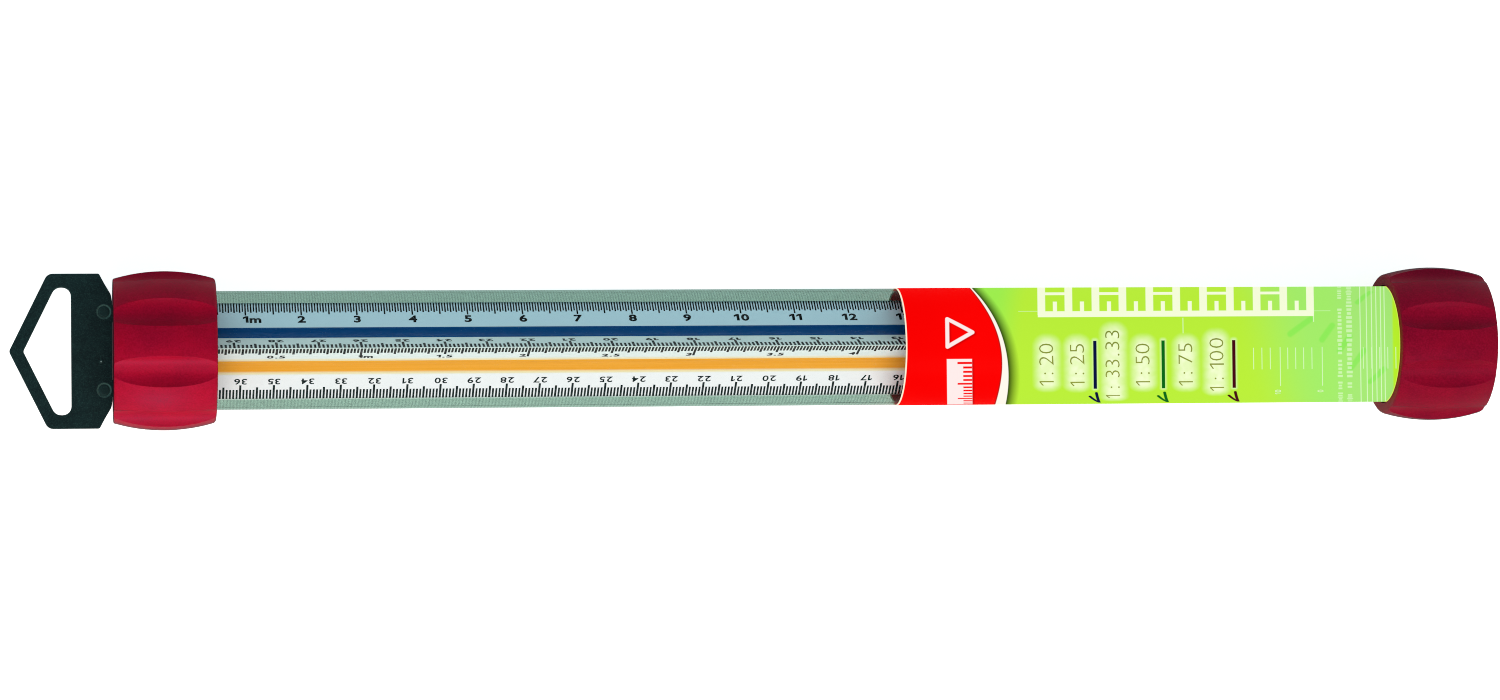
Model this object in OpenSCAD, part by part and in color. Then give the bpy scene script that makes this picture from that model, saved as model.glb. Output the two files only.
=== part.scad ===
// Triangular scale rule in a clear storage tube.
//
// A three-sided drawing scale lies in an extruded tube that two fluted caps
// close.  One cap carries a flat hanging tab, the other is plain and pulls off
// so that the scale can be drawn out.  A printed film label wraps the tube.
//
// Axis of the tube: X.  The origin is the centre of the plain cap's flat end
// face, with +X pointing out of it, so the whole case lies on the -X side.
// +Z is up with the case lying down: one ridge of the scale points up, and two
// of its faces can be read from above.  All sizes are in millimetres.

/* [Scale] */
// Graduated length of the scale
scale_len = 300; // [150:10:300]
// Blank length beyond the graduations at each end
scale_margin = 7; // [4:0.5:10]
// Radius of the circle through the three sharp ridges
section_r = 13.75; // [12.9:0.05:13.9]
// How far each reading face leans inwards from the flat triangle
bevel_angle = 13.2; // [8:0.1:16]
// Width of the coloured flute in the middle of each side
flute_w = 5.3; // [3.5:0.1:6.5]
// Radius of the flute's round bottom
flute_r = 5.4; // [4:0.1:9]
// Thickness of the coloured lining in each flute
stripe_t = 0.3; // [0.15:0.05:0.6]

/* [Tube] */
// Outer diameter of the tube
tube_od = 28.4; // [28.2:0.1:29]
// Wall thickness of the tube
tube_wall = 0.5; // [0.3:0.05:0.7]
// Free length left for the scale at each end
end_play = 2; // [0.5:0.5:6]

/* [Caps] */
// Length of a cap
cap_len = 24.2; // [20:0.2:30]
// Largest diameter of a cap, at the middle of its length
cap_d = 37.9; // [36:0.1:40]
// Radius of the barrel curve along a cap
barrel_r = 41.6; // [36:0.2:80]
// Thickness of the closed end
end_wall = 2.4; // [1.6:0.1:3.2]
// Depth from the outer end face to the shoulder that stops the tube
seat_depth = 9.2; // [8:0.2:11]
// Radial clearance between the cap's bore and the tube
cap_clearance = 0.05; // [0.02:0.01:0.1]
// Number of finger flutes round a cap
grip_count = 8; // [5:1:9]
// Radius of one finger flute
grip_r = 4.9; // [3:0.1:6]
// Distance from the axis to the bottom of a finger flute
grip_floor = 16.8; // [16:0.05:17.2]
// Turn of the hanging cap's flutes about the axis
hanger_turn = 17; // [0:1:44]
// Turn of the plain cap's flutes about the axis
end_turn = 25; // [0:1:44]

/* [Hanging tab] */
// Overall width of the tab
tab_w = 36.8; // [34:0.2:40]
// Length of the tab outside the cap
tab_len = 24.4; // [24:0.2:28]
// Thickness of the tab
tab_t = 2.4; // [1.6:0.1:3]
// Width of the sloping straps round the opening
strap_w = 3; // [2.2:0.1:3.4]
// Width of the solid part next to the cap
tab_web = 9.8; // [8:0.2:10]
// Distance of each snap leg from the axis
leg_pos = 8.9; // [7:0.1:9]
// Width of a snap leg
leg_w = 4.2; // [3:0.1:4.4]

/* [Label] */
// Length of the label that shows
label_len = 123.2; // [60:0.2:125]
// Thickness of the label film
label_t = 0.1; // [0.05:0.05:0.15]
// Gap where the two ends of the label meet
label_seam = 0.4; // [0.2:0.1:2]

/* [Hidden] */

$fn = 96;
over = 1; // how far a cutter runs past the part it cuts

// Lengths along the case
shoulder_gap = 0.1;                                  // from tube end to cap shoulder
rule_len = scale_len + 2 * scale_margin;             // the whole scale
tube_len = rule_len + 2 * end_play - 2 * shoulder_gap;
case_len = rule_len + 2 * end_play + 2 * seat_depth; // between the end faces
x_mid = -case_len / 2;                               // middle of the case

// Tube and label
tube_r = tube_od / 2;
tube_bore_r = tube_r - tube_wall;
label_r = tube_r + 0.02;                             // inside of the film
label_gap = 0.8;                                     // label end to the foot of the cap's lip

// Section of the scale
side_half = section_r * sin(60);                     // half a side of the triangle
side_dist = section_r / 2;                           // axis to side
ridge_gap = 0.2;                                     // least room between ridge and tube
ridge_cut = 0.25;                                    // least amount taken off a ridge
ridge_r = min(tube_bore_r - ridge_gap, section_r - ridge_cut);
face_drop = (side_half - flute_w / 2) * tan(bevel_angle);
flute_edge = side_dist - face_drop;                  // height of the flute's edges
flute_axis = flute_edge + sqrt(pow(flute_r, 2) - pow(flute_w / 2, 2));
stripe_gap = 0.01;                                   // keeps the lining off the scale

// Caps
seat_r = tube_r + cap_clearance;
lip_r = tube_r + 0.4;                                // relief over the label
lip_len = 3;
chamber_r = 12;                                      // hollow behind the end wall
rim_round = 0.9;                                     // corner at the open end
edge_round = 0.35;                                   // corner at the closed end

// Hanging tab
tab_half = tab_w / 2;
tab_reach = 9.1;                                     // length of the tab's point
tab_shoulder = 3.2;                                  // cap face to the tab's full width
tab_side_w = 3.25;                                   // width beside the opening
slot_clear = 0.1;                                    // round a leg in its slot
leg_root = 0.6;                                      // leg length inside the tab
barb_gap = 0.1;                                      // end wall to barb
barb_h = 0.5;
barb_len = 3;
barb_flat = 0.4;                                     // full-height part of a barb

// ---------------------------------------------------------------- helpers

// Turns a shape drawn along Z so that it runs along +X: drawn x, y become Y, Z
module along_x() rotate([90, 0, 90]) children();

// A round bar along X
module bar(radius, x_from, x_to)
    translate([x_from, 0, 0]) along_x() cylinder(r = radius, h = x_to - x_from);

// Points of an arc
function arc(centre, radius, start, end, steps) =
    [for (i = [0:steps])
        let (angle = start + (end - start) * i / steps)
        centre + radius * [cos(angle), sin(angle)]];

// Arc that rounds a corner reached from one point and left towards the next
function round_corner(before, corner, after, radius) =
    let (back = (before - corner) / norm(before - corner),
         ahead = (after - corner) / norm(after - corner),
         half = acos(back * ahead) / 2,
         centre = corner + (back + ahead) / norm(back + ahead) * (radius / sin(half)),
         from = corner + back * (radius / tan(half)) - centre,
         to = corner + ahead * (radius / tan(half)) - centre,
         start = atan2(from[1], from[0]),
         sweep = atan2(to[1], to[0]) - start,
         // take the short way round
         turn = sweep > 180 ? sweep - 360 : sweep < -180 ? sweep + 360 : sweep)
    arc(centre, radius, start, start + turn, 6);

function xy(row) = [row[0], row[1]];

// Outline through corners given as [x, y, rounding radius]
function rounded(corners) =
    let (count = len(corners))
    [for (i = [0:count - 1])
        each round_corner(xy(corners[(i + count - 1) % count]), xy(corners[i]),
                          xy(corners[(i + 1) % count]), corners[i][2])];

// Corners of one half, the tip, then the half mirrored in the x axis
function mirrored(half, tip) =
    concat(half, [tip],
        [for (i = [len(half) - 1:-1:0]) [half[i][0], -half[i][1], half[i][2]]]);

// ------------------------------------------------------------------ scale
// Drawn along Z with side 0 towards +y; scale_place() then turns it face down.

module scale_place()
    translate([x_mid - rule_len / 2, 0, 0]) along_x() rotate(180) children();

// Corners of side k: a sharp ridge, then both edges of the flute
function side_points(k) =
    let (angle = 120 * k)
    [for (p = [[-side_half, side_dist], [-flute_w / 2, flute_edge], [flute_w / 2, flute_edge]])
        [p[0] * cos(angle) - p[1] * sin(angle), p[0] * sin(angle) + p[1] * cos(angle)]];

// The section with its leaning faces, ridges still sharp
module section() polygon([for (k = [0:2]) each side_points(-k)]);

// A round rod on the axis of side 0's flute, run on by extra at both ends
module flute_rod(radius, extra = 0)
    translate([0, flute_axis, -extra]) cylinder(r = radius, h = rule_len + 2 * extra);

module scale_body() {
    color("white") scale_place()
    difference() {
        intersection() {
            linear_extrude(rule_len) section();
            cylinder(r = ridge_r, h = rule_len);
        }
        for (k = [0:2]) rotate([0, 0, 120 * k]) flute_rod(flute_r, over);
    }
}

// The coloured lining of the flute in side k
module stripe(k) {
    scale_place() rotate([0, 0, 120 * k])
    intersection() {
        difference() {
            flute_rod(flute_r - stripe_gap);
            flute_rod(flute_r - stripe_t, over);
        }
        translate([-flute_w / 2, 0, 0]) cube([flute_w, flute_edge, rule_len]);
    }
}

// Upper side towards +Y
module blue_stripe() color("midnightblue") stripe(1);

// Upper side towards -Y
module orange_stripe() color("orange") stripe(2);

// Underside
module green_stripe() color("seagreen") stripe(0);

// --------------------------------------------------------- tube and label

module tube() {
    x_from = x_mid - tube_len / 2;
    x_to = x_mid + tube_len / 2;
    color("lightcyan", 0.3)
    difference() {
        bar(tube_r, x_from, x_to);
        bar(tube_bore_r, x_from - over, x_to + over);
    }
}

// A film wrapped once round the tube, its ends meeting underneath; one end is
// tucked into the plain cap's lip
module label() {
    x_from = -cap_len - label_len;
    x_to = -cap_len + lip_len - label_gap;
    seam_cut = 4; // height of the cutter, centred on the tube's surface
    color("yellowgreen")
    difference() {
        bar(label_r + label_t, x_from, x_to);
        bar(label_r, x_from - over, x_to + over);
        translate([x_from - over, -label_seam / 2, -tube_r - seam_cut / 2])
            cube([x_to - x_from + 2 * over, label_seam, seam_cut]);
    }
}

// ------------------------------------------------------------------- caps
// Drawn along Z, closed end at z = 0 and mouth at z = cap_len.

// Half profile of a cap: an arched side between two flat ends, with both outer
// corners rounded
module cap_profile() {
    barrel_x = cap_d / 2 - barrel_r; // centre of the barrel curve

    // Centre distance, and angle of contact, of a corner tangent to the barrel
    function corner_x(radius) =
        barrel_x + sqrt(pow(barrel_r - radius, 2) - pow(cap_len / 2 - radius, 2));
    function corner_turn(radius) = asin((cap_len / 2 - radius) / (barrel_r - radius));

    rim_turn = corner_turn(rim_round);
    // an odd number of steps leaves a short straight band at the widest point
    side = arc([barrel_x, cap_len / 2], barrel_r, -rim_turn, rim_turn, 13);
    polygon(concat(
        [[0, 0]],
        arc([corner_x(edge_round), edge_round], edge_round, -90, -corner_turn(edge_round), 2),
        // the side's last point is the first of the rim corner
        [for (i = [0:len(side) - 2]) side[i]],
        arc([corner_x(rim_round), cap_len - rim_round], rim_round, rim_turn, 90, 5),
        [[0, cap_len]]));
}

// Outside of a cap, with straight finger flutes that run out at both ends
module cap_outside() {
    difference() {
        rotate_extrude() cap_profile();
        for (k = [0:grip_count - 1]) rotate([0, 0, 360 / grip_count * k])
            translate([grip_floor + grip_r, 0, -over])
                cylinder(r = grip_r, h = cap_len + 2 * over);
    }
}

// Hollow of a cap: chamber, tube seat and the relieved mouth
module cap_inside() {
    translate([0, 0, end_wall]) cylinder(r = chamber_r, h = cap_len);
    translate([0, 0, seat_depth]) cylinder(r = seat_r, h = cap_len);
    translate([0, 0, cap_len - lip_len]) cylinder(r = lip_r, h = lip_len + over);
}

module cap() {
    difference() {
        cap_outside();
        cap_inside();
    }
}

// Plain cap, closed face at the origin
module end_cap() {
    color("crimson") rotate([end_turn, 0, 0]) rotate([0, -90, 0]) cap();
}

// Cap with two slots in its closed face for the tab's legs
module hanger_cap() {
    slot_w = leg_w + 2 * slot_clear;
    slot_h = tab_t + 2 * slot_clear;
    color("crimson") translate([-case_len, 0, 0])
    difference() {
        rotate([hanger_turn, 0, 0]) rotate([0, 90, 0]) cap();
        for (side = [-1, 1])
            translate([-over, side * leg_pos - slot_w / 2, -slot_h / 2])
                cube([end_wall + 2 * over, slot_w, slot_h]);
    }
}

// -------------------------------------------------------------------- tab
// x runs from the cap's face (0) out to the tip (-tab_len).

module tab_outline() {
    // [x, y, rounding radius], from the cap's face to the start of the point
    half = [
        [-0.15, -11.6, 0.2],
        [-0.4, -13.4, 3],
        [1.2 - tab_shoulder, -tab_half + 2.3, 4],
        [-tab_shoulder, -tab_half, 0.6],
        [tab_reach - tab_len, -tab_half, 2]
    ];
    polygon(rounded(mirrored(half, [-tab_len, 0, 1.2])));
}

// The five-sided opening for a peg or hook
module tab_opening() {
    strap_x = strap_w * norm([tab_half, tab_reach]) / tab_half; // strap width along x
    tip_x = -tab_len + strap_x;
    half_w = tab_half - tab_side_w;
    slope_x = tip_x + tab_reach * half_w / tab_half; // where the slopes start
    // [x, y, rounding radius]
    half = [[-tab_web, -half_w, 2.1], [slope_x, -half_w, 2.2]];
    polygon(rounded(mirrored(half, [tip_x, 0, 1.0])));
}

// Round witness marks of the mould's ejector pins: a groove 0.2 deep round a
// disc 0.05 deep
module pin_marks()
    for (side = [-1, 1]) translate([-2.1, side * 9.3, tab_t / 2])
        difference() {
            translate([0, 0, -0.2]) cylinder(r = 1.65, h = 1);
            translate([0, 0, -0.3]) cylinder(r = 1.1, h = 0.25);
        }

// A leg that goes through the cap's end wall and snaps behind it
module leg() {
    barb_x = end_wall + barb_gap;
    barb_z = tab_t / 2 + barb_h;
    translate([-leg_root, -leg_w / 2, -tab_t / 2])
        cube([leg_root + barb_x + barb_len, leg_w, tab_t]);
    for (side = [-1, 1])
        translate([barb_x, -leg_w / 2, 0]) rotate([-90, 0, 0])
            linear_extrude(leg_w)
                polygon([[0, 0], [0, -side * barb_z], [barb_flat, -side * barb_z],
                         [barb_len, -side * tab_t / 2], [barb_len, 0]]);
}

// Nub left where the mould was filled
module mould_nub() translate([-2.8, -2.5, tab_t / 2 - 0.1]) cylinder(r = 0.4, h = 0.25);

module hang_tab() {
    color("darkslategray") translate([-case_len, 0, 0]) {
        difference() {
            translate([0, 0, -tab_t / 2]) linear_extrude(tab_t) difference() {
                tab_outline();
                tab_opening();
            }
            pin_marks();
        }
        mould_nub();
        for (side = [-1, 1]) translate([0, side * leg_pos, 0]) leg();
    }
}

// --------------------------------------------------------------- assembly

tube();
label();
hanger_cap();
end_cap();
hang_tab();
scale_body();
blue_stripe();
orange_stripe();
green_stripe();
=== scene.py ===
# A three-sided scale rule in a clear tube with a wrapped printed label, red caps on both
# ends and a dark hang tab.  It lies along X with the hanging cap at the -X end, +Z is up,
# and the camera looks down on it.  Patterns and marks are in millimetres and degrees,
# the scene is in metres.
import math
from functools import reduce

import bpy
import numpy as np
from mathutils import Matrix, Vector


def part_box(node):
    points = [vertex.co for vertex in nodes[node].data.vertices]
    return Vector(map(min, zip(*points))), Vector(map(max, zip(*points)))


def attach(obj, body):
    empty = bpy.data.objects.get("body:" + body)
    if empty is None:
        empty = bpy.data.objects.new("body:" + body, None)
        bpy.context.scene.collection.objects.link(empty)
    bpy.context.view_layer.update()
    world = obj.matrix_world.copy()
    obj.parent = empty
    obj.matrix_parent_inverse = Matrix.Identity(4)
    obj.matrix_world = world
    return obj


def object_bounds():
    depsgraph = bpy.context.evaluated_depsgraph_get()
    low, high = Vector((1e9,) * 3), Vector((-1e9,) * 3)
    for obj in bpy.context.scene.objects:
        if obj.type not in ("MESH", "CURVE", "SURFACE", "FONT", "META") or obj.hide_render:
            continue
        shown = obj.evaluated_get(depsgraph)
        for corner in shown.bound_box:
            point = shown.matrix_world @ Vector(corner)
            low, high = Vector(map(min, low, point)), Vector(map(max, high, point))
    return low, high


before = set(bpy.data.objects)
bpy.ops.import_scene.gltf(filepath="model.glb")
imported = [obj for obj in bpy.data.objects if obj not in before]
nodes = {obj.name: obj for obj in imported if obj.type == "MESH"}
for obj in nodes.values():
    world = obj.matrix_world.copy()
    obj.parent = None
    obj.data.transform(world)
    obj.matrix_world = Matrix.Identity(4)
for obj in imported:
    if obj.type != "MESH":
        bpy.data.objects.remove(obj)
cad_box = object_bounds()
MM = 0.001
RAD = math.pi / 180


def srgb(*channels):
    """sRGB 0..255 to linear, with full alpha."""
    def linear(value):
        return value / 12.92 if value <= 0.04045 else ((value + 0.055) / 1.055) ** 2.4
    return (*(linear(channel / 255) for channel in channels), 1.0)


# ---------------------------------------------------------------- node graphs

def operation(name):
    """A method that feeds the value, then any others, to a math node."""
    def apply(self, *others):
        return self.graph.math(name, self, *others)
    return apply


class Value:
    """A shader socket with arithmetic, so that a pattern reads as a formula."""

    def __init__(self, graph, socket):
        self.graph, self.socket = graph, socket

    __add__ = __radd__ = operation("ADD")
    __sub__ = operation("SUBTRACT")
    __mul__ = operation("MULTIPLY")
    __truediv__ = operation("DIVIDE")
    __lt__ = operation("LESS_THAN")
    __gt__ = operation("GREATER_THAN")
    __abs__ = operation("ABSOLUTE")
    power = operation("POWER")
    max = operation("MAXIMUM")
    root = operation("SQRT")
    floor = operation("FLOOR")
    sine = operation("SINE")
    cosine = operation("COSINE")
    arcsine = operation("ARCSINE")

    def __rsub__(self, other):
        return self.graph.math("SUBTRACT", other, self)

    def ramp(self, start, end, low=0.0, high=1.0, curve="LINEAR"):
        """low at start to high at end, clamped outside."""
        node = self.graph.node("MapRange", clamp=True, interpolation_type=curve)
        settings = {"Value": self, "From Min": start, "From Max": end,
                    "To Min": low, "To Max": high}
        for key, setting in settings.items():
            self.graph.put(node.inputs[key], setting)
        return self.graph.value(node, "Result")

    def ease(self, start, end):
        """0 at start to 1 at end, with soft shoulders."""
        return self.ramp(start, end, curve="SMOOTHSTEP")

    def mix(self, first, second):
        """first where the value is 0, second where it is 1."""
        return self.graph.mix(self, first, second)

    def cover(self, amount, paint):
        """This colour with an amount of paint over it."""
        return self.graph.mix(amount, self, paint)


class Graph:
    """A material under construction."""

    def __init__(self, name):
        self.material = bpy.data.materials.new(name)
        self.material.use_nodes = True
        self.tree = self.material.node_tree
        self.tree.nodes.clear()
        self.output = self.node("OutputMaterial")

    def node(self, kind, **properties):
        node = self.tree.nodes.new("ShaderNode" + kind)
        for key, setting in properties.items():
            setattr(node, key, setting)
        return node

    def value(self, node, output=0):
        return Value(self, node.outputs[output])

    def put(self, socket, setting):
        if isinstance(setting, Value):
            self.tree.links.new(setting.socket, socket)
        else:
            socket.default_value = setting

    def math(self, name, *terms, clamp=False):
        node = self.node("Math", operation=name, use_clamp=clamp)
        for i, term in enumerate(terms):
            self.put(node.inputs[i], term)
        return self.value(node)

    def position(self):
        """Object coordinates in millimetres: x, y, z."""
        split = self.node("SeparateXYZ")
        self.put(split.inputs[0], self.value(self.node("TexCoord"), "Object"))
        return [self.value(split, i) * 1000.0 for i in range(3)]

    def vector(self, x, y, z):
        node = self.node("CombineXYZ")
        for i, part in enumerate((x, y, z)):
            self.put(node.inputs[i], part)
        return self.value(node)

    def noise(self, point, scale, detail, rough):
        node = self.node("TexNoise")
        settings = {"Vector": point, "Scale": scale, "Detail": detail, "Roughness": rough}
        for key, setting in settings.items():
            self.put(node.inputs[key], setting)
        return self.value(node, "Fac")

    def mix(self, amount, first, second, blend="MIX"):
        node = self.node("Mix", data_type="RGBA", blend_type=blend)
        for i, setting in ((0, amount), (6, first), (7, second)):
            self.put(node.inputs[i], setting)
        return self.value(node, 2)

    def bump(self, height, strength, distance, normal=None):
        node = self.node("Bump")
        self.put(node.inputs["Strength"], strength)
        self.put(node.inputs["Distance"], distance)
        self.put(node.inputs["Height"], height)
        if normal is not None:
            self.put(node.inputs["Normal"], normal)
        return self.value(node)

    def bevel(self, radius):
        node = self.node("Bevel", samples=4)
        self.put(node.inputs["Radius"], radius)
        return self.value(node)

    def facing(self, normal=None):
        """0 where the surface faces the eye, 1 where it is edge-on."""
        node = self.node("LayerWeight")
        self.put(node.inputs["Blend"], 0.5)
        if normal is not None:
            self.put(node.inputs["Normal"], normal)
        return self.value(node, "Facing")

    def shader(self, kind, **inputs):
        node = self.node(kind)
        for key, setting in inputs.items():
            self.put(node.inputs[key.replace("_", " ")], setting)
        return node

    def mix_shader(self, amount, first, second):
        node = self.node("MixShader")
        self.put(node.inputs[0], amount)
        self.put(node.inputs[1], self.value(first))
        self.put(node.inputs[2], self.value(second))
        return node

    def surface(self, shader):
        self.put(self.output.inputs["Surface"], self.value(shader))
        return self.material


def distance(across, along):
    return (across * across + along * along).root()


def either(masks):
    """The union of several masks."""
    return reduce(lambda joined, mask: joined.max(mask), masks)


# ------------------------------------------------------------------ materials

def red_plastic(name, tone_a, tone_b, streak, low):
    graph = Graph(name)
    x, y, z = graph.position()
    point = graph.vector(x, y, z)
    # fine satin texture, slow colour change, and lines drawn along the cap by the mould
    grain = graph.noise(point, scale=2.6, detail=3.0, rough=0.6)
    cloud = graph.noise(point, scale=0.16, detail=2.0, rough=0.5)
    drag = graph.noise(graph.vector(x * 0.05, y, z), scale=1.1, detail=3.0, rough=0.6)
    colour = cloud.ramp(0.3, 0.7).mix(tone_a, tone_b)
    colour = colour.cover(drag.ramp(0.35, 0.75) * 0.4, streak)
    colour = colour.cover(grain.ramp(0.45, 0.8) * 0.3, srgb(204, 20, 66))
    colour = colour.cover(grain.ramp(0.5, 0.25) * 0.35, low)
    soft = graph.bevel(radius=0.0003)
    # painted shade: the red turns nearly black where the surface is seen edge-on, darkening the
    # silhouettes
    colour = colour.cover(graph.facing(soft).ease(0.66, 0.97) * 0.8, srgb(44, 2, 20))
    return graph.surface(graph.shader(
        "BsdfPrincipled", Base_Color=colour, Roughness=grain.ramp(0.3, 0.7, low=0.4, high=0.54),
        Normal=graph.bump(grain * 0.8 + drag * 0.4, strength=0.3, distance=0.00007, normal=soft),
        IOR=1.5, Specular_IOR_Level=0.12, Specular_Tint=(1.0, 0.42, 0.9, 1)))


def dark_plastic():
    pin_x, pin_y, ring_radius = 338.5, 9.3, 1.58    # mould-pin rings, at -x and both +-y
    gate_x, gate_y = 339.2, 2.5                     # broken-off filling point, at -x, -y
    top_z = 0.6                                     # these show only above this height
    graph = Graph("dark_plastic_look")
    x, y, z = graph.position()
    point = graph.vector(x, y, z)
    speck = graph.noise(point, scale=3.4, detail=4.0, rough=0.75)
    cloud = graph.noise(point, scale=0.22, detail=2.0, rough=0.5)
    colour = cloud.ramp(0.3, 0.7).mix(srgb(3, 23, 26), srgb(9, 33, 35))
    blot = graph.noise(point, scale=1.1, detail=3.0, rough=0.7)
    colour = colour.cover(blot.ramp(0.48, 0.66) * 0.35, srgb(30, 58, 56))
    colour = colour.cover(speck.ramp(0.5, 0.74) * 0.75, srgb(44, 76, 72))
    # a slightly paler line painted along the edges as a highlight, where the rounded normal leaves
    # the true one
    soft = graph.bevel(radius=0.0004)
    dot = graph.node("VectorMath", operation="DOT_PRODUCT")
    graph.put(dot.inputs[0], soft)
    graph.put(dot.inputs[1], graph.value(graph.node("NewGeometry"), "Normal"))
    wear_and_edge_highlight = graph.value(dot, "Value").ramp(0.995, 0.9)
    colour = colour.cover(wear_and_edge_highlight * 0.6, srgb(60, 90, 88))
    # the pin rings and the filling point catch the light
    away = distance(x + pin_x, abs(y) - pin_y)
    colour = colour.cover(away.ease(1.6, 1.4) * (z > top_z) * 0.35, srgb(34, 62, 60))
    ring = abs(away - ring_radius).ease(0.26, 0.08) * (z > top_z)
    colour = colour.cover(ring * speck.ramp(0.35, 0.6, low=0.35, high=1.0), srgb(78, 112, 106))
    gate = distance(x + gate_x, y + gate_y).ease(0.24, 0.12) * (z > top_z)
    colour = colour.cover(gate, srgb(150, 172, 168))
    return graph.surface(graph.shader(
        "BsdfPrincipled", Base_Color=colour, Roughness=speck.ramp(0.3, 0.7, low=0.46, high=0.66),
        Normal=graph.bump(speck, strength=0.55, distance=0.00006, normal=soft),
        IOR=1.48, Specular_IOR_Level=0.14))


SIN_60 = 0.866           # the rule's three sides stand 60 degrees to each other


def white_plastic():
    graph = Graph("white_plastic_look")
    x, y, z = graph.position()
    grain = graph.noise(graph.vector(x, y, z), scale=2.0, detail=3.0, rough=0.6)
    # extrusion lines along the scale
    pull = graph.noise(graph.vector(x * 0.02, y, z), scale=1.6, detail=2.0, rough=0.5)
    colour = pull.ramp(0.35, 0.7).mix(srgb(244, 247, 246), srgb(236, 243, 242))
    # painted reflection: orange light from the lining tints the white a little way beside it
    across = y * 0.5 + z * SIN_60
    side = (across.ease(5.0, 2.9) * (across > 0.0)).max(across.ease(-3.8, -2.9) * (across < 0.0))
    side = side * ((y * -SIN_60 + z * 0.5) > 2.0)
    colour = colour.cover(side * 0.8, srgb(255, 224, 156))
    # painted light and shade: cooler towards the shaded upper +Y side, warmer towards the lit upper
    # -Y side
    shade_side_tint = (y * SIN_60 + z * 0.5).ease(4.0, 5.0)
    outer = (z * SIN_60 - y * 0.5).ease(1.5, -1.5)
    colour = colour.cover(shade_side_tint, outer.mix(srgb(236, 244, 240), srgb(229, 246, 255)))
    lit_side_tint = (y * -SIN_60 + z * 0.5).ease(4.0, 5.0) * (z * SIN_60 + y * 0.5).ease(1.5, -1.5)
    colour = colour.cover(lit_side_tint * (1.0 - side), srgb(253, 248, 251))
    return graph.surface(graph.shader(
        "BsdfPrincipled", Base_Color=colour, Roughness=grain.ramp(0.3, 0.7, low=0.34, high=0.46),
        Normal=graph.bump(grain * 0.5 + pull, strength=0.1, distance=0.00003),
        IOR=1.5, Specular_IOR_Level=0.2))


def inlay(name, tone_a, tone_b, fleck, rim=None):
    graph = Graph(name)
    x, y, z = graph.position()
    pull = graph.noise(graph.vector(x * 0.015, y, z), scale=1.8, detail=3.0, rough=0.6)
    speck = graph.noise(graph.vector(x, y, z), scale=1.7, detail=2.0, rough=0.6)
    colour = pull.ramp(0.3, 0.75).mix(tone_a, tone_b)
    colour = colour.cover(speck.ramp(0.6, 0.8) * 0.1, fleck)
    if rim is not None:             # thin along its outer rim, where the white shows through
        colour = colour.cover((y * 0.5 + z * SIN_60).ease(-1.8, -2.6) * 0.8, rim)
    return graph.surface(graph.shader(
        "BsdfPrincipled", Base_Color=colour, Roughness=pull.ramp(0.3, 0.7, low=0.38, high=0.52),
        Normal=graph.bump(pull, strength=0.1, distance=0.00003),
        IOR=1.5, Specular_IOR_Level=0.03))


def ink(name, colour, rough=0.5):
    graph = Graph(name)
    wear_and_edge_highlight = graph.noise(graph.vector(*graph.position()), scale=0.9, detail=3.0, rough=0.65)
    colour = graph.mix(wear_and_edge_highlight.ramp(0.62, 0.85) * 0.3, colour, srgb(90, 110, 108))
    return graph.surface(graph.shader(
        "BsdfPrincipled", Base_Color=colour, Specular_IOR_Level=0.1,
        Roughness=wear_and_edge_highlight.ramp(0.3, 0.7, low=rough - 0.08, high=rough + 0.08)))


def clear_plastic():
    """A thin clear wall.  Rays from the eye bend through it; light for what is inside
    passes straight."""
    outer_radius = 13.95                                   # beyond this is the outer skin
    wave_minus, wave_plus = 2 * math.pi / 0.8, 2 * math.pi / 0.6667    # tick pitches
    graph = Graph("clear_plastic_look")
    x, y, z = graph.position()
    scuff = graph.noise(graph.vector(x * 0.35, y, z), scale=1.3, detail=4.0, rough=0.7)
    pull = graph.noise(graph.vector(x * 0.01, y, z), scale=0.9, detail=2.0, rough=0.5)
    facing = graph.facing()
    # painted reflection: ticks near the wall are mirrored in it as faint upright streaks, closer
    # together at +Y
    plus = y > 0.0
    painted_tick_reflection = (x * (wave_minus + plus * (wave_plus - wave_minus))).sine() * 0.1 + 0.97
    edge = facing.ease(0.8, 0.97).mix((0.242, 0.37, 0.306, 1), (0.42, 0.53, 0.48, 1))
    edge = graph.mix(1.0, edge, graph.vector(painted_tick_reflection, painted_tick_reflection, painted_tick_reflection), "MULTIPLY")
    # the colour is laid on once, where the ray first meets the tube from outside
    geometry = graph.node("NewGeometry")
    outer = distance(y, z) > outer_radius
    first = outer * (1.0 - graph.value(geometry, "Backfacing"))
    clear = (0.99, 0.998, 0.994, 1)
    tinted = (facing + plus * 0.055).ease(0.375, 0.465) * first
    bend = graph.shader("BsdfRefraction", Color=tinted.mix(clear, edge), Roughness=0.0, IOR=1.5)
    # where the eye looks along the wall itself, light is carried through it
    along = graph.shader("BsdfTransparent", Color=first.mix(clear, edge))
    body = graph.mix_shader(facing > (outer * -0.15 + 0.85), bend, along)
    shine = graph.shader("BsdfGlossy", Color=(0.8, 0.9, 0.86, 1),
                         Roughness=scuff.ramp(0.4, 0.8, low=0.08, high=0.26),
                         Normal=graph.bump(pull, strength=0.2, distance=0.00005))
    gloss = facing.power(4.0) * 0.3 + scuff.ramp(0.55, 0.85, low=0.0, high=0.008)
    seen = graph.mix_shader(gloss, body, shine)
    straight = graph.shader("BsdfTransparent", Color=facing.ease(0.5, 1.0).mix(
        (0.985, 0.995, 0.99, 1), (0.8, 0.88, 0.85, 1)))
    path = graph.node("LightPath")
    unseen = graph.value(path, "Is Shadow Ray").max(graph.value(path, "Is Diffuse Ray"))
    return graph.surface(graph.mix_shader(unseen, seen, straight))


# ------------------------------------------------------- label film artwork

LABEL_R = 14.34          # radius of the printed surface, mm
TURN = RAD * LABEL_R     # mm of arc per degree
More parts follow.
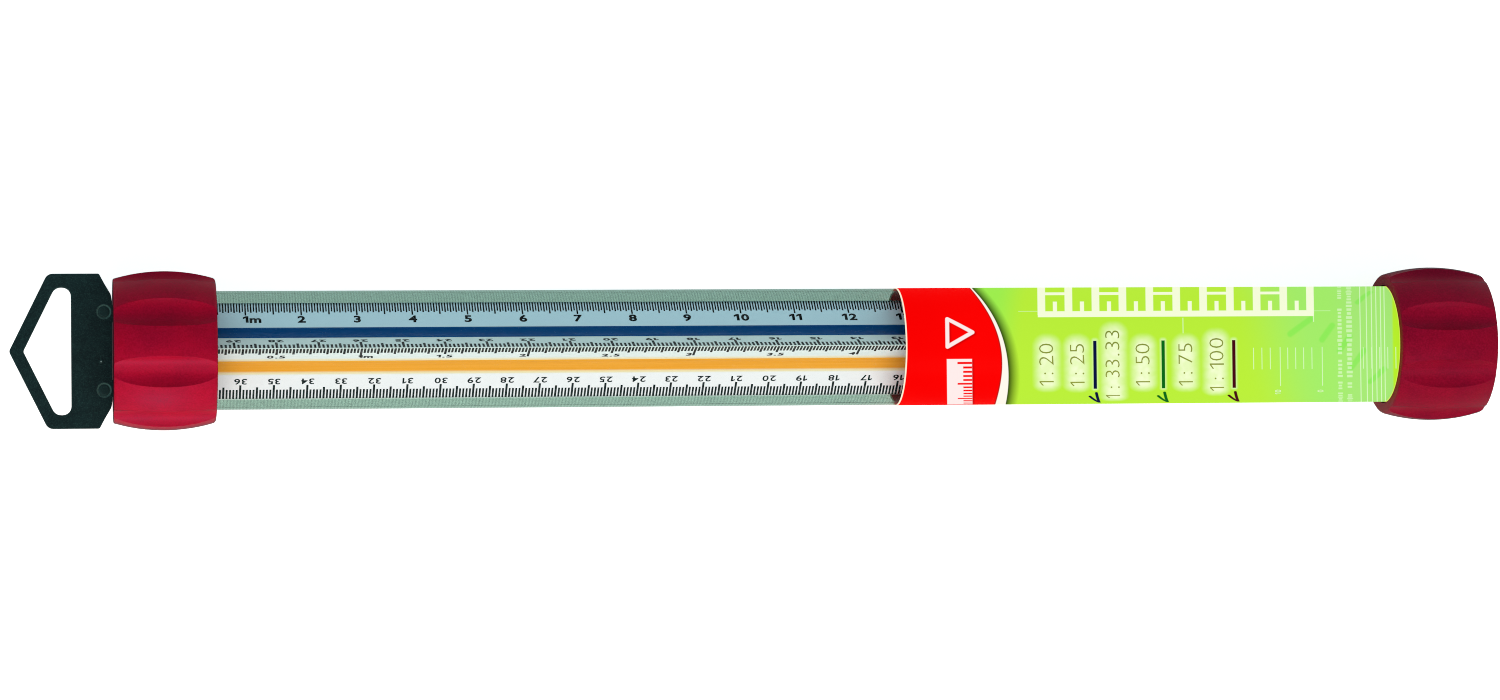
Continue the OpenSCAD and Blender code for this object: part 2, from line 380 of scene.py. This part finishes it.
# The print is a little bowed, so that its upright lines look straight from above the -X end.
BOW_X, BOW_RATE, BOW_LEVEL = 353.0, 0.01328, 0.93


def bow(x, cosine):
    """Shift along X of the print, for a place at x and the cosine of its angle from the top."""
    return (x + BOW_X) * BOW_RATE * (cosine - BOW_LEVEL)


class Sheet:
    """The label as a flat sheet: x in mm, angle in degrees (0 on top, + towards +Y,
    mirrored round the underside) and the arc in mm.  Shapes are masks, 1 inside."""

    def __init__(self, graph):
        self.graph = graph
        self.cut_x, self.y, self.z = graph.position()
        turned = graph.math("ARCTAN2", self.y, self.z) * (180 / math.pi)
        self.front = abs(turned).ease(112.0, 96.0)         # the printed side
        self.crisp = abs(turned).ease(97.5, 96.5)          # crisp end of the print
        self.angle = (turned * RAD).sine().arcsine() * (180 / math.pi)
        self.arc = self.angle * TURN
        # place across the label seen from above, -1..1
        self.across = self.y * (1 / LABEL_R) + self.z * 0.0021
        self.x = self.cut_x + bow(self.cut_x, (self.angle * RAD).cosine())

    def noise(self, scale, detail, rough):
        return self.graph.noise(self.graph.vector(self.x, self.y, self.z), scale, detail, rough)

    def outside(self, x0, x1, angle0, angle1):
        """How far a point is beyond a rectangle, along X and round the arc."""
        return (abs(self.x - (x0 + x1) / 2) - abs(x1 - x0) / 2,
                abs(self.arc - (angle0 + angle1) / 2 * TURN) - abs(angle1 - angle0) / 2 * TURN)

    def box(self, x0, x1, angle0, angle1, soft=0.08):
        along, around = self.outside(x0, x1, angle0, angle1)
        return along.max(around).ease(soft, -soft)

    def glow(self, x0, x1, angle0, angle1, reach):
        along, around = self.outside(x0, x1, angle0, angle1)
        return distance(along.max(0.0), around.max(0.0)).ease(reach, 0.0)

    def line(self, x0, angle0, x1, angle1, width, soft=0.1):
        """A capsule from one point to another."""
        run_x, run_arc = x1 - x0, (angle1 - angle0) * TURN
        from_x, from_arc = self.x - x0, self.arc - angle0 * TURN
        part = self.graph.math("DIVIDE", from_x * run_x + from_arc * run_arc,
                               run_x * run_x + run_arc * run_arc, clamp=True)
        away = distance(from_x - part * run_x, from_arc - part * run_arc)
        return away.ease(width / 2 + soft, width / 2 - soft)

    def curve(self, first, *rest):
        """A polynomial of the place across, highest power first."""
        return reduce(lambda total, term: total * self.across + term,
                      rest[1:], self.across * first + rest[0])


# faint broken diagonals on the green: x0, angle0, x1, angle1, width
DASHES = [(-46.4, 24, -51.6, 8.7, 1.5), (-43.6, 3, -41.0, 17, 1.5), (-39.2, -8, -36.6, 6, 1.4),
          (-36.4, -26, -33.0, -8, 1.4), (-31.6, -42, -28.0, -27, 1.4), (-34.5, 44, -31.2, 62, 1.4)]
# halo behind each ratio: x0, x1, angle0, angle1
HALOS = [(-112.9, -111.9, -2.5, -41.0), (-105.5, -104.5, -2.5, -42.0), (-96.4, -95.4, 10.0, -62.0),
         (-89.0, -88.0, -2.5, -42.0), (-78.4, -77.4, -2.5, -42.5), (-70.8, -69.8, 2.5, -50.0)]
# coloured rules: x, colour
RULES = [(-100.55, srgb(6, 16, 62)), (-83.55, srgb(8, 104, 24)), (-65.85, srgb(70, 8, 20))]
# fine white marks: x of short and of long ones, x of those that run right round, and boxes
SHORT_FINE = [-60.9, -58.8, -56.7, -52.3, -50.3, -48.3, -46.2, -33.2, -31.1, -29.05, -27.0, -24.95]
LONG_FINE = [-54.2, -43.6]
ROUND_FINE = [-33.9, -32.3, -31.0, -29.85, -28.7, -27.75]
BOX_FINE = [(-119.4, -114.0, 34.1, 34.6), (-114.55, -114.3, 29.5, 50.0), (-45.6, -41.4, 33.1, 33.6),
            (-45.8, -45.55, 21.0, 54.0), (-78.6, -78.4, 26.0, 10.0)]
BAR_X, BAR_PITCH = -113.7, 6.72                            # graduated bar
# rows of tiny blocks: x, half width, cell length, first and last angle
BLOCK_ROWS = [(-39.1, 0.66, 1.02, -86.0, 84.0), (-36.7, 0.78, 1.16, -84.0, 86.0)]


def label_ground(sheet):
    """The green ground, a little different from stretch to stretch."""
    x, angle = sheet.x, sheet.angle
    colour = (x + angle * 0.05).ease(-65.0, -45.0).mix(srgb(187, 239, 58), srgb(165, 238, 106))
    colour = colour.cover(x.ease(-43.0, -34.0), srgb(167, 234, 118))
    colour = colour.cover((x + angle * -0.03).ease(-118.5, -127.0) * 0.75, srgb(150, 240, 84))
    colour = colour.cover(x.ease(-26.0, -25.4), srgb(184, 240, 44))
    dash = either([sheet.line(*row, soft=0.3) for row in DASHES])
    return colour.cover(dash * 0.6 * sheet.crisp, srgb(128, 236, 78))


def label_rules(sheet, colour):
    """Halos behind the ratios, and coloured rules with their chevrons."""
    patchy = sheet.noise(scale=0.5, detail=1.0, rough=0.5).ramp(0.34, 0.6, low=0.78, high=1.0)
    for row in HALOS:
        halo = sheet.glow(*row, reach=3.5).power(0.8) * 0.97
        colour = colour.cover(halo * sheet.front * patchy, srgb(246, 254, 212))
    for x, paint in RULES:
        halo = sheet.glow(x - 0.2, x + 0.2, 3.0, -49.0, reach=1.0)
        colour = colour.cover(halo * 0.55 * sheet.front, srgb(236, 253, 214))
        rule = either([sheet.box(x - 0.42, x + 0.42, 3.0, -49.0, soft=0.06),
                       sheet.line(x - 1.35, -61.7, x + 0.95, -78.0, width=0.75),
                       sheet.line(x + 0.25, -55.5, x + 0.95, -78.0, width=0.75)])
        colour = colour.cover(rule * sheet.front, paint)
    return colour


def label_white(sheet, colour):
    """Fine white marks and a graduated bar."""
    fine = [sheet.box(x - 0.09, x + 0.09, -4.7, -26.5) for x in SHORT_FINE]
    fine += [sheet.box(x - 0.09, x + 0.09, -4.2, -46.8) for x in LONG_FINE]
    fine += [abs(sheet.x - x).ease(0.17, 0.05) for x in ROUND_FINE]
    fine += [sheet.box(*row) for row in BOX_FINE]
    colour = colour.cover(either(fine) * 0.85 * sheet.crisp, srgb(226, 253, 205))
    bars = [sheet.box(-114.6, -45.6, 27.4, 34.2, soft=0.1)]
    for i in range(11):
        x = BAR_X + i * BAR_PITCH
        bars.append(sheet.box(x - 0.95, x + 0.95, 30.0, 96.0, soft=0.1))
        if i < 10:
            bars.append(sheet.box(x + 2.86, x + 3.86, 30.0, 47.0, soft=0.1))
    for i in range(0, 10, 2):
        x = BAR_X + i * BAR_PITCH
        bars.append(sheet.box(x, x + BAR_PITCH, 58.0, 64.0, soft=0.1))
    return colour.cover(either(bars) * sheet.crisp, srgb(249, 255, 220))


def label_blocks(sheet, colour):
    """Two rows of tiny blocks, like small print seen from afar."""
    for x, half, cell, first, last in BLOCK_ROWS:
        place = sheet.arc / cell
        index = place.floor()
        random = sheet.graph.node("TexWhiteNoise", noise_dimensions="1D")
        sheet.graph.put(random.inputs["W"], index + x)
        odds = sheet.graph.value(random, "Value")
        part = abs(place - index - 0.5)
        reach = (odds * 0.45 + 0.55) * half
        block = part.ease(0.38, 0.26) * (abs(sheet.x - x) - reach).ease(0.1, -0.1) * (odds > 0.16)
        block = block * (sheet.angle > first) * (sheet.angle < last)
        colour = colour.cover(block * 0.6 * sheet.crisp, srgb(228, 253, 204))
    return colour


def triangle(sheet, shift_x, shift_angle, width, soft):
    """The three sides of a triangle outline."""
    left, tip = -137.0 + shift_x, -130.8 + shift_x
    high, low, middle = 26 + shift_angle, -2 + shift_angle, 12 + shift_angle
    return [sheet.line(left, high, left, low, width, soft),
            sheet.line(left, high, tip, middle, width, soft),
            sheet.line(left, low, tip, middle, width, soft)]


def label_red(sheet, colour):
    """Red panel at the -X end, with a curved white edge that throws a soft printed shadow."""
    edge = sheet.curve(0.313, -0.43, -4.796, -2.544, -123.92)
    white_edge = sheet.curve(-0.235, -0.663, -3.87, -3.411, -122.835).max(edge + 0.45)
    beyond = sheet.x - white_edge
    colour = colour.cover(beyond.ramp(2.9, 0.15) * 0.95, srgb(38, 62, 4))
    colour = colour.cover(beyond.ease(0.1, -0.1), srgb(255, 248, 236))
    red = (sheet.x - edge).ease(0.1, -0.1)
    tone = sheet.noise(scale=0.05, detail=1.0, rough=0.5)
    colour = colour.cover(red, tone.ramp(0.3, 0.7).mix(srgb(255, 2, 1), srgb(251, 0, 0)))
    rim = abs(sheet.x - edge + 0.12).ease(0.24, 0.1)
    colour = colour.cover(rim * 0.8, srgb(176, 20, 18))
    # plain pictogram on the red: a three-sided section over a graduated strip, with a shadow
    drawing = triangle(sheet, 0.0, 0, width=0.95, soft=0.1)
    drawing.append(sheet.box(-137.2, -131.0, -14.0, -84.0, soft=0.1))
    cuts = []
    for i in range(14):
        angle = -18.0 - 4.6 * i
        start = -133.2 if i % 5 else -134.6
        cuts.append(sheet.box(start, -131.0, angle - 1.1, angle + 1.1))
    shade = triangle(sheet, 0.3, -1, width=1.1, soft=0.4)
    shade.append(sheet.box(-136.9, -130.6, -15.0, -85.0, soft=0.4))
    colour = colour.cover(either(shade) * 0.45 * sheet.crisp, srgb(120, 0, 6))
    colour = colour.cover(either(drawing) * sheet.crisp, srgb(255, 236, 234))
    return colour.cover(either(cuts) * sheet.crisp, srgb(250, 6, 6))


def label_film():
    graph = Graph("label_film_look")
    sheet = Sheet(graph)
    colour = label_ground(sheet)
    colour = label_rules(sheet, colour)
    colour = label_white(sheet, colour)
    colour = label_blocks(sheet, colour)
    colour = label_red(sheet, colour)
    # cut ends of the film: a painted cream highlight along the -X cut edge, and a paler lime band
    # at the +X end
    left = graph.math("ADD", 0.0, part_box("label")[0].x * 1000)
    colour = colour.cover((sheet.cut_x - left).ease(0.42, 0.3), srgb(255, 240, 214))
    colour = colour.cover(sheet.cut_x.ease(-24.35, -24.2) * 0.8, srgb(226, 248, 92))
    grain = sheet.noise(scale=1.4, detail=3.0, rough=0.6)
    wave = graph.noise(graph.vector(sheet.x * 0.4, sheet.y, sheet.z),
                       scale=0.12, detail=1.0, rough=0.5)
    film = graph.shader(
        "BsdfPrincipled", Base_Color=colour, Roughness=grain.ramp(0.3, 0.7, low=0.3, high=0.42),
        Normal=graph.bump(grain * 0.15 + wave, strength=0.12, distance=0.00006),
        IOR=1.5, Specular_IOR_Level=0.08)
    # painted glow: to the camera the film shows mostly as a glow of its own colour, which flattens
    # its shading
    lit = graph.shader("Emission", Color=colour, Strength=1.02)
    camera_ray = graph.value(graph.node("LightPath"), "Is Camera Ray")
    return graph.surface(graph.mix_shader(camera_ray * 0.9, film, lit))


MATERIALS = {
    "tube": clear_plastic(),
    "label": label_film(),
    "hanger_cap": red_plastic("red_plastic_look", tone_a=srgb(168, 1, 32), tone_b=srgb(150, 1, 32),
                              streak=srgb(174, 4, 44), low=srgb(110, 1, 20)),
    # painted shade: the end cap gets a darker copy of the red plastic, standing in for the light
    # falling off towards +X
    "end_cap": red_plastic("red_plastic_painted_shade_look", tone_a=srgb(152, 1, 32),
                           tone_b=srgb(136, 1, 32), streak=srgb(158, 4, 42), low=srgb(98, 1, 20)),
    "hang_tab": dark_plastic(),
    "scale_body": white_plastic(),
    "blue_stripe": inlay("blue_inlay_look", tone_a=srgb(4, 70, 128), tone_b=srgb(10, 80, 136),
                         fleck=srgb(90, 140, 170)),
    "orange_stripe": inlay("orange_inlay_look", tone_a=srgb(255, 174, 62),
                           tone_b=srgb(248, 162, 46), fleck=srgb(255, 214, 140),
                           rim=srgb(252, 226, 178)),
    "green_stripe": inlay("green_inlay_look", tone_a=srgb(16, 112, 66), tone_b=srgb(28, 128, 78),
                          fleck=srgb(120, 180, 140)),
}
for name, material in MATERIALS.items():
    mesh = nodes[name].data
    mesh.materials.clear()
    mesh.materials.append(material)
    for polygon in mesh.polygons:
        polygon.material_index = 0


# ------------------------------------------------- smooth normals for the caps

def read_array(collection, key, width=1, kind=float):
    flat = np.zeros(len(collection) * width, kind)
    collection.foreach_get(key, flat)
    return flat.reshape(-1, width) if width > 1 else flat


def even_normals(mesh, limit):
    """Shading normals shared across seams flatter than limit degrees; no vertex moves."""
    places = read_array(mesh.vertices, "co", 3)
    corner_vertex = read_array(mesh.loops, "vertex_index", kind=int)
    normals = read_array(mesh.polygons, "normal", 3)
    areas = read_array(mesh.polygons, "area")
    starts = read_array(mesh.polygons, "loop_start", kind=int)
    totals = read_array(mesh.polygons, "loop_total", kind=int)
    corner_face = np.repeat(np.arange(len(totals)), totals)
    # corners at the same place, to 0.0001 mm, belong together
    rounded = np.round(places[corner_vertex] * 1e7).astype(np.int64)
    place_ids = np.unique(rounded, axis=0, return_inverse=True)[1].ravel()
    # corner angles, so that a face cut into many does not pull harder
    angles = np.zeros(len(corner_vertex))
    for start, total in zip(starts, totals):
        corners = np.arange(start, start + total)
        points = places[corner_vertex[corners]]
        ahead = np.roll(points, -1, 0) - points
        behind = np.roll(points, 1, 0) - points
        lengths = np.linalg.norm(ahead, axis=1) * np.linalg.norm(behind, axis=1)
        cosines = (ahead * behind).sum(1) / np.maximum(lengths, 1e-18)
        angles[corners] = np.arccos(np.clip(cosines, -1, 1))
    groups = {}
    for i, place in enumerate(place_ids):
        groups.setdefault(place, []).append(i)
    result = np.zeros((len(corner_vertex), 3))
    for members in groups.values():
        members = np.array(members)
        faces = corner_face[members]
        near = (normals[faces] @ normals[faces].T) >= math.cos(math.radians(limit))
        weights = angles[members] * np.sqrt(np.maximum(areas[faces], 1e-16))
        total = (near * weights[None, :]) @ normals[faces]
        result[members] = total / np.maximum(np.linalg.norm(total, axis=1, keepdims=True), 1e-12)
    for polygon in mesh.polygons:
        polygon.use_smooth = True
    mesh.normals_split_custom_set([tuple(normal) for normal in result])


for name in ("hanger_cap", "end_cap", "hang_tab"):
    even_normals(nodes[name].data, limit=24.0)


# ------------------------------------------------------------ printed characters

BOLD, PLAIN, THIN = 0.036, 0.016, -0.018                   # outline offsets
GLYPHS = {}              # (character, weight): (vertices, faces), z from -0.5 to 0.5


def flagged_one(points):
    """The bar that stands for 1 in this face, given a flag."""
    width, height = float(np.ptp(points[:, 0])), float(points[:, 1].max())
    flag, drop, thick = 0.17, 0.13, 1.15 * width
    rim = [(flag + width, 0), (flag + width, height), (flag, height), (0, height - drop),
           (0, height - drop - thick), (flag, height - thick), (flag, 0)]
    count = len(rim)
    faces = [tuple(reversed(range(count))), tuple(range(count, 2 * count))]
    faces += [(i, (i + 1) % count, count + (i + 1) % count, count + i) for i in range(count)]
    return np.array([(x, y, z) for z in (-0.5, 0.5) for x, y in rim]), faces


def make_glyphs(pairs):
    """Closed outlines of characters from the built-in font at size 1."""
    made = []
    for character, weight in pairs:
        curve = bpy.data.curves.new("glyph", "FONT")
        curve.body = character
        curve.size = 1.0
        curve.resolution_u = 3
        curve.offset = weight
        curve.extrude = 0.5
        holder = bpy.data.objects.new("glyph", curve)
        bpy.context.scene.collection.objects.link(holder)
        made.append((character, weight, holder, curve))
    depsgraph = bpy.context.evaluated_depsgraph_get()
    for character, weight, holder, curve in made:
        mesh = bpy.data.meshes.new_from_object(holder.evaluated_get(depsgraph))
        points = np.array([vertex.co for vertex in mesh.vertices])
        index, joined = {}, []
        for point in np.round(points, 5):                  # join the front, sides and back
            joined.append(index.setdefault(tuple(point), len(index)))
        faces = [tuple(joined[i] for i in polygon.vertices) for polygon in mesh.polygons]
        faces = [face for face in faces if len(set(face)) == len(face)]
        points = np.array(list(index))
        if character == "1":
            points, faces = flagged_one(points)
        GLYPHS[character, weight] = (points, faces)
        bpy.data.meshes.remove(mesh)
    for character, weight, holder, curve in made:
        bpy.data.objects.remove(holder)
        bpy.data.curves.remove(curve)


make_glyphs([(character, weight) for weight in (BOLD, PLAIN, THIN)
             for character in "0123456789.:m"])
DIGIT_HEIGHT = float(np.ptp(GLYPHS["0", PLAIN][0][:, 1]))


def gap_share(pair):
    """Share of the spare room between two characters, wider beside a colon."""
    return 2.6 if ":" in pair else 0.9 if "." in pair else 0.75


def layout(text, height, weight, width=None, wide=1.0):
    """Characters at a digit height as (vertices, faces) with x from 0, and the total width."""
    scale = height / DIGIT_HEIGHT
    scale_x = scale * wide
    glyphs = [GLYPHS[character, weight] for character in text]
    sizes = [float(np.ptp(points[:, 0])) for points, faces in glyphs]
    gaps = [0.115] * (len(text) - 1)
    if width is not None:                                  # spread to a given width
        shares = [gap_share(text[i:i + 2]) for i in range(len(text) - 1)]
        room = width / scale_x - sum(sizes)
        gaps = [room * share / sum(shares) for share in shares]
    placed, pen = [], 0.0
    for (points, faces), size, gap in zip(glyphs, sizes, gaps + [0.0]):
        moved = (points - [points[:, 0].min(), 0, 0]) * [scale_x, scale, 1] + [pen, 0, 0]
        placed.append((moved, faces))
        pen += (size + gap) * scale_x
    return placed, pen


class Print:
    """Many small solids of ink gathered into one mesh."""

    def __init__(self):
        self.points, self.faces = [], []

    def add(self, points, faces):
        base = len(self.points)
        self.points += points
        self.faces += [tuple(base + i for i in face) for face in faces]

    def build(self, name, material, carrier):
        mesh = bpy.data.meshes.new(name)
        mesh.from_pydata(self.points, [], self.faces)
        mesh.validate()
        mesh.update()
        piece = bpy.data.objects.new(name, mesh)
        bpy.context.scene.collection.objects.link(piece)
        mesh.materials.append(material)
        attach(piece, carrier)


# ---------------------------------------------------- graduations on the scale

body = nodes["scale_body"].data
body_x = np.array([vertex.co for vertex in body.vertices])[:, 0] * 1000
MIDDLE_X = (body_x.min() + body_x.max()) / 2               # middle of the scale, mm
SCALE_LEN = 300.0
FACE_TILT = 13.2         # a reading face's lean from its side, degrees
LOW, HIGH = 0.004, 0.03                                    # ink from just off the face, mm
TICK_START = 0.12                                          # gap between ridge and tick
WIDE = 1.18                                                # widening of the characters
BOX_FACES = [(0, 3, 2, 1), (4, 5, 6, 7), (0, 1, 5, 4), (1, 2, 6, 5), (2, 3, 7, 6), (3, 0, 4, 7)]


def direction(angle):
    """Unit vector across the rule, from +Y towards +Z."""
    return np.array([0, math.cos(angle), math.sin(angle)])


class ReadingFace(Print):
    """Ink on one flat reading face: side is the side's normal angle, end -1 or +1 picks
    the ridge."""

    def __init__(self, side, end):
        super().__init__()
        wanted = math.radians(side - end * FACE_TILT)
        level = [polygon for polygon in body.polygons if abs(polygon.normal.x) < 0.01]

        def error(polygon):
            turn = math.atan2(polygon.normal.z, polygon.normal.y) - wanted
            return abs(math.atan2(math.sin(turn), math.cos(turn)))

        best = max((polygon for polygon in level if error(polygon) < 0.03),
                   key=lambda polygon: polygon.area)
        angle = math.atan2(best.normal.z, best.normal.y)
        self.normal = direction(angle)
        self.away = direction(angle - end * math.pi / 2)   # from the ridge down the face
        points = [np.array(body.vertices[i].co) * 1000 for polygon in level
                  if polygon.normal.y * self.normal[1] + polygon.normal.z * self.normal[2] > 0.9998
                  for i in polygon.vertices]
        self.height = float(np.mean([point @ self.normal for point in points]))
        self.ridge = min(float(point @ self.away) for point in points)
        # the reading direction is +X or -X
        self.sign = 1.0 if np.cross(-self.away, self.normal)[0] > 0 else -1.0

    def at(self, reading, drop, lift):
        """reading runs from the zero mark, drop from the ridge."""
        x = MIDDLE_X + self.sign * (reading - SCALE_LEN / 2)
        point = self.away * (self.ridge + drop) + self.normal * (self.height + lift)
        return (x * MM, point[1] * MM, point[2] * MM)

    def tick(self, reading, length, width):
        left, right = reading - width / 2, reading + width / 2
        corners = ((left, TICK_START), (right, TICK_START), (right, length), (left, length))
        self.add([self.at(*corner, lift) for lift in (LOW, HIGH) for corner in corners], BOX_FACES)

    def text(self, text, reading, top, height, weight, align=0.5):
        """top is the distance from the ridge to the top of the digits."""
        placed, width = layout(text, height, weight, wide=WIDE)
        for points, faces in placed:
            self.add([self.at(reading - width * align + x, top + height - y,
                              LOW if z < 0 else HIGH) for x, y, z in points], faces)


INK = ink("graduation_ink", srgb(2, 10, 14))
INK_SOFT = ink("graduation_ink_grey", srgb(14, 30, 32))

# ratio, side, end, tick step, tick width, [(every so many steps, tick length)],
# metres between numbers, how many numbers, their top and height, ink, weight
SCALES = [
    (75, 30, -1, 2 / 3, 0.325, [(1, 3.35), (2, 3.75), (10, 4.45), (20, 4.75)],
     1, 22, 5.0, 2.4, INK, BOLD),
    (100, 30, 1, 1.0, 0.53, [(1, 3.1), (5, 4.0), (10, 5.1)],
     1, 29, 5.3, 2.0, INK, BOLD),
    (25, 150, -1, 0.8, 0.5, [(1, 3.3), (5, 4.2), (25, 4.5), (50, 6.6)],
     0.5, 14, 5.1, 1.9, INK, BOLD),
    (125, 150, 1, 0.8, 0.45, [(1, 3.4), (5, 4.25), (10, 5.0)],
     1, 36, 5.2, 1.95, INK_SOFT, PLAIN),
    (20, 270, -1, 1.0, 0.3, [(1, 3.3), (5, 4.1), (25, 4.9), (50, 5.4)],
     0.5, 11, 5.6, 1.95, INK, BOLD),
    (50, 270, 1, 1.0, 0.3, [(1, 3.3), (2, 3.8), (10, 4.9), (20, 5.4)],
     1, 14, 5.6, 1.95, INK, BOLD),
]


def scale_marks(ratio, side, end, step, tick_width, levels, spacing, count, top, height,
                material, weight):
    face = ReadingFace(side, end)
    shortest = levels[0][1]
    for i in range(int(round(SCALE_LEN / step)) + 1):
        length = [reach for every, reach in levels if i % every == 0][-1]
        face.tick(i * step, length, tick_width * (1.12 if length > shortest else 1.0))
    for i in range(1, count + 1):
        metres = i * spacing
        reading = metres * 1000 / ratio
        text = f"{metres:g}"
        if ratio == 25 and metres > 1 and metres % 1 == 0:  # beside the extra long ticks
            face.text(text, reading - 0.45, top - 0.3, height, weight, align=1.0)
        else:
            face.text(text, reading, top, height, weight)
        if metres == 1:                                    # only the first metre has its unit
            half = layout(text, height, weight, wide=WIDE)[1] / 2
            face.text("m", reading + half + 0.25, top, height, weight, align=0.0)
    face.text(f"1:{ratio}", reading=-0.9, top=0.9, height=1.7, weight=PLAIN, align=1.0)
    face.build(f"marks_1_{ratio}", material, "ruler")


for row in SCALES:
    scale_marks(*row)


# --------------------------------------------------- ratio numbers on the label

LABEL_LOW, LABEL_HIGH = 0.006, 0.03                        # ink from just off the label, mm
# text, x of the baseline, angles of the right and left ends
RATIOS = [("1:20", -110.85, 0.5, -43.7), ("1:25", -103.2, 0.0, -44.8),
          ("1:33.33", -94.4, 13.0, -64.6), ("1:50", -86.9, 0.0, -44.6),
          ("1:75", -76.2, 0.0, -45.0), ("1:100", -68.4, 5.0, -52.9)]
# text, x of the baseline, angle of the right end
SMALL_NUMBERS = [("10", -54.1, -52.0), ("0", -43.4, -52.5)]


def wrap_text(label_print, placed, width, base_x, right):
    """Bend laid-out characters round the label."""
    for glyph, faces in placed:
        points = []
        for x, y, z in glyph:
            angle = math.radians(right) - (width - x) / LABEL_R
            radius = LABEL_R + (LABEL_LOW if z < 0 else LABEL_HIGH)
            along = base_x - y
            along -= bow(along, math.cos(angle))
            points.append((along * MM, radius * math.sin(angle) * MM,
                           radius * math.cos(angle) * MM))
        label_print.add(points, faces)


numbers = Print()
for text, base_x, right, left in RATIOS:
    wrap_text(numbers, *layout(text, 3.9, THIN, width=(right - left) * TURN, wide=1.12),
              base_x, right)
numbers.build("label_numbers", ink("label_number_ink", srgb(150, 156, 60), rough=0.4), "tube")

numbers = Print()
for text, base_x, right in SMALL_NUMBERS:
    wrap_text(numbers, *layout(text, 1.6, PLAIN), base_x, right)
numbers.build("label_small_numbers", ink("label_pale_ink", srgb(226, 251, 186), rough=0.4), "tube")


# ------------------------------------------------------------------ the studio

def floor_look():
    graph = Graph("floor_look")
    tone = graph.noise(graph.vector(*graph.position()), scale=0.004, detail=2.0, rough=0.5)
    # seen directly the paper is bright; what it throws back onto the piece is dimmer
    path = graph.node("LightPath")
    direct = (graph.value(path, "Is Camera Ray") * 1.2).max(
        graph.value(path, "Is Transmission Ray"))
    return graph.surface(graph.shader(
        "BsdfPrincipled", Base_Color=tone.mix(srgb(236, 236, 235), srgb(240, 240, 240)),
        Roughness=0.85, Specular_IOR_Level=0.1, Emission_Color=(1, 0.965, 0.95, 1),
        Emission_Strength=direct * 0.62))


def paper_floor():
    low, reach = cad_box[0].z, 6.0
    mesh = bpy.data.meshes.new("floor")
    mesh.from_pydata([(-reach, -reach, low), (reach, -reach, low), (reach, reach, low),
                      (-reach, reach, low)], [], [(0, 1, 2, 3)])
    floor = bpy.data.objects.new("floor", mesh)
    bpy.context.scene.collection.objects.link(floor)
    mesh.materials.append(floor_look())


def area_light(name, place, target, size, power, colour):
    light = bpy.data.lights.new(name, "AREA")
    light.shape = "RECTANGLE"
    light.size, light.size_y = size
    light.energy = power
    light.color = colour
    lamp = bpy.data.objects.new(name, light)
    lamp.location = place
    lamp.rotation_mode = "QUATERNION"
    lamp.rotation_quaternion = (Vector(target) - Vector(place)).to_track_quat("-Z", "Y")
    bpy.context.scene.collection.objects.link(lamp)
    return lamp


def lights():
    area_light("key", place=(-0.19, -0.80, 0.95), target=(-0.17, 0, 0), size=(1.5, 0.6),
               power=9.6, colour=(1.0, 0.84, 0.74))
    # a low lamp that only picks out the flutes of the hanging cap
    lamp = area_light("flutes", place=(-0.36, -0.85, 0.22), target=(-0.348, 0, 0.004),
                      size=(0.16, 0.1), power=3.2, colour=(1.0, 0.84, 0.9))
    lit = bpy.data.collections.new("flutes_only")
    lit.objects.link(nodes["hanger_cap"])
    lamp.light_linking.receiver_collection = lit
    world = bpy.data.worlds.new("studio")
    world.use_nodes = True
    background = world.node_tree.nodes["Background"]
    background.inputs["Color"].default_value = (0.66, 0.93, 1.0, 1)
    background.inputs["Strength"].default_value = 0.58
    bpy.context.scene.world = world


def camera():
    """Looks down along -Z with +Y up, then turned a little by yaw, pitch and roll."""
    place = Vector((-352.928, -31.481, 1079.603)) * MM
    yaw, pitch, roll = (math.radians(turn) for turn in (8.82115241, 1.61966406, -0.57646949))
    lens = bpy.data.cameras.new("camera")
    lens.sensor_width = 36.0
    lens.lens = 108.072
    lens.shift_x = 0.006
    lens.clip_start, lens.clip_end = 0.05, 50
    holder = bpy.data.objects.new("camera", lens)
    bpy.context.scene.collection.objects.link(holder)
    forward = Vector((math.sin(yaw) * math.cos(pitch), math.sin(pitch),
                      -math.cos(yaw) * math.cos(pitch)))
    level = forward.cross(Vector((0, 1, 0))).normalized()
    upright = level.cross(forward)
    right = level * math.cos(roll) + upright * math.sin(roll)
    up = upright * math.cos(roll) - level * math.sin(roll)
    rotation = Matrix((right, up, -forward)).transposed()
    holder.matrix_world = Matrix.Translation(place) @ rotation.to_4x4()
    bpy.context.scene.camera = holder


paper_floor()
lights()
camera()
bpy.context.scene.view_settings.view_transform = "Standard"
bpy.context.scene.view_settings.look = "None"
bpy.context.scene.cycles.filter_width = 1.0                # fine graduations stay crisp
